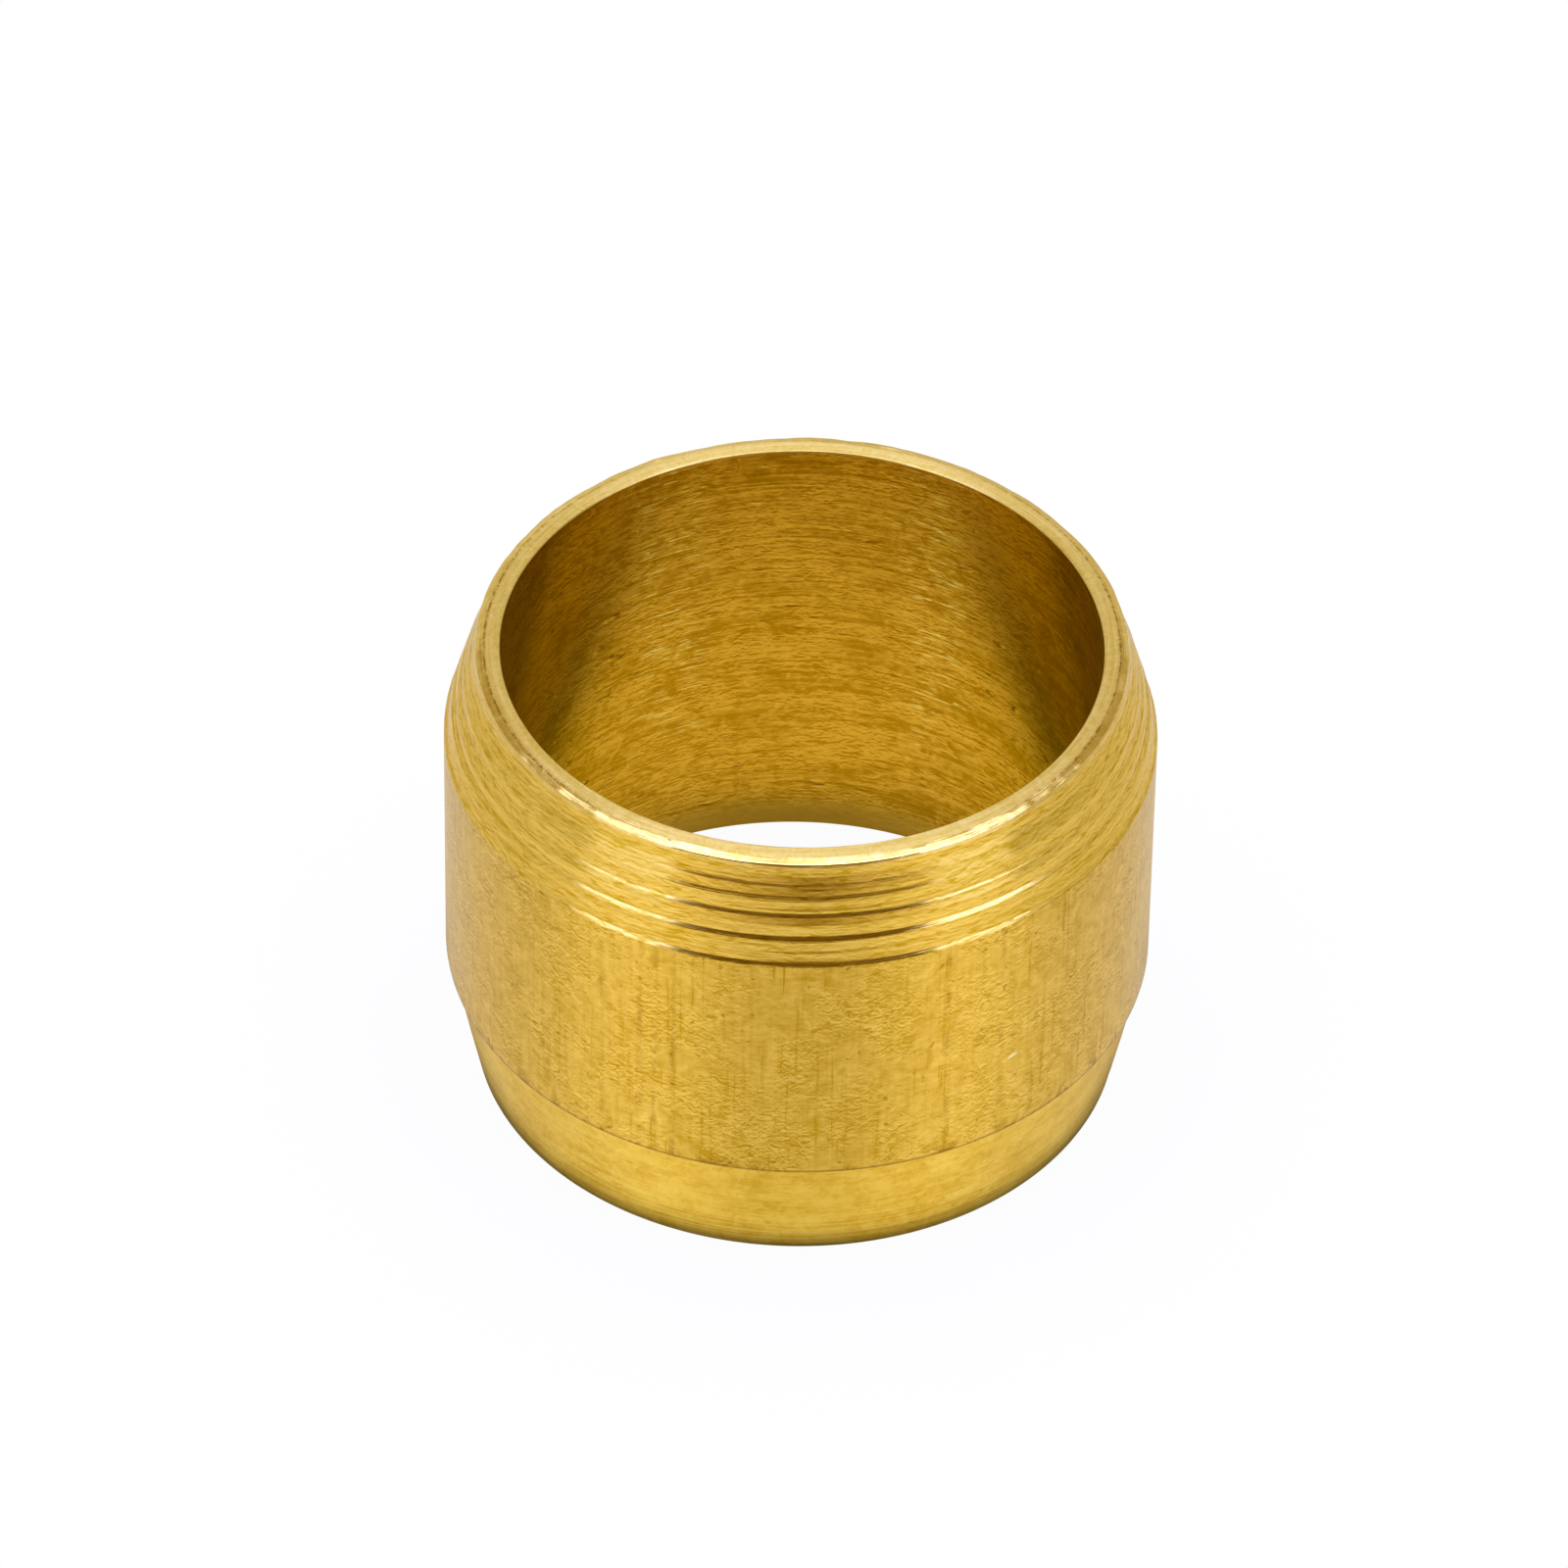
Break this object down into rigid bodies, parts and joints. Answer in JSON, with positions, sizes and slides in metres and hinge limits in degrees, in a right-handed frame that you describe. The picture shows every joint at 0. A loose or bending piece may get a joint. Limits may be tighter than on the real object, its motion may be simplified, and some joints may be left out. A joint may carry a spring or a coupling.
{
  "type": "compression olive",
  "caption": "Short brass sleeve with a plain bore, a stepped lead cone and a tapered tail, squeezed by a nut between pipe and fitting body to make a watertight joint.",
  "frame": {"origin": "centre of the tail face, on the bore's axis, where the olive stands on its end", "axes": "+Z along the bore's axis, from the tail face to the rim at the lead cone; X and Y are any two directions across it"},
  "size_m": [0.012, 0.012, 0.0087],
  "materials": {
    "brass": "bare brass, turned cones and bore, drawn bar surface on the barrel"
  },
  "bodies": {
    "root": {"olive": "brass"}
  },
  "joints": []
}
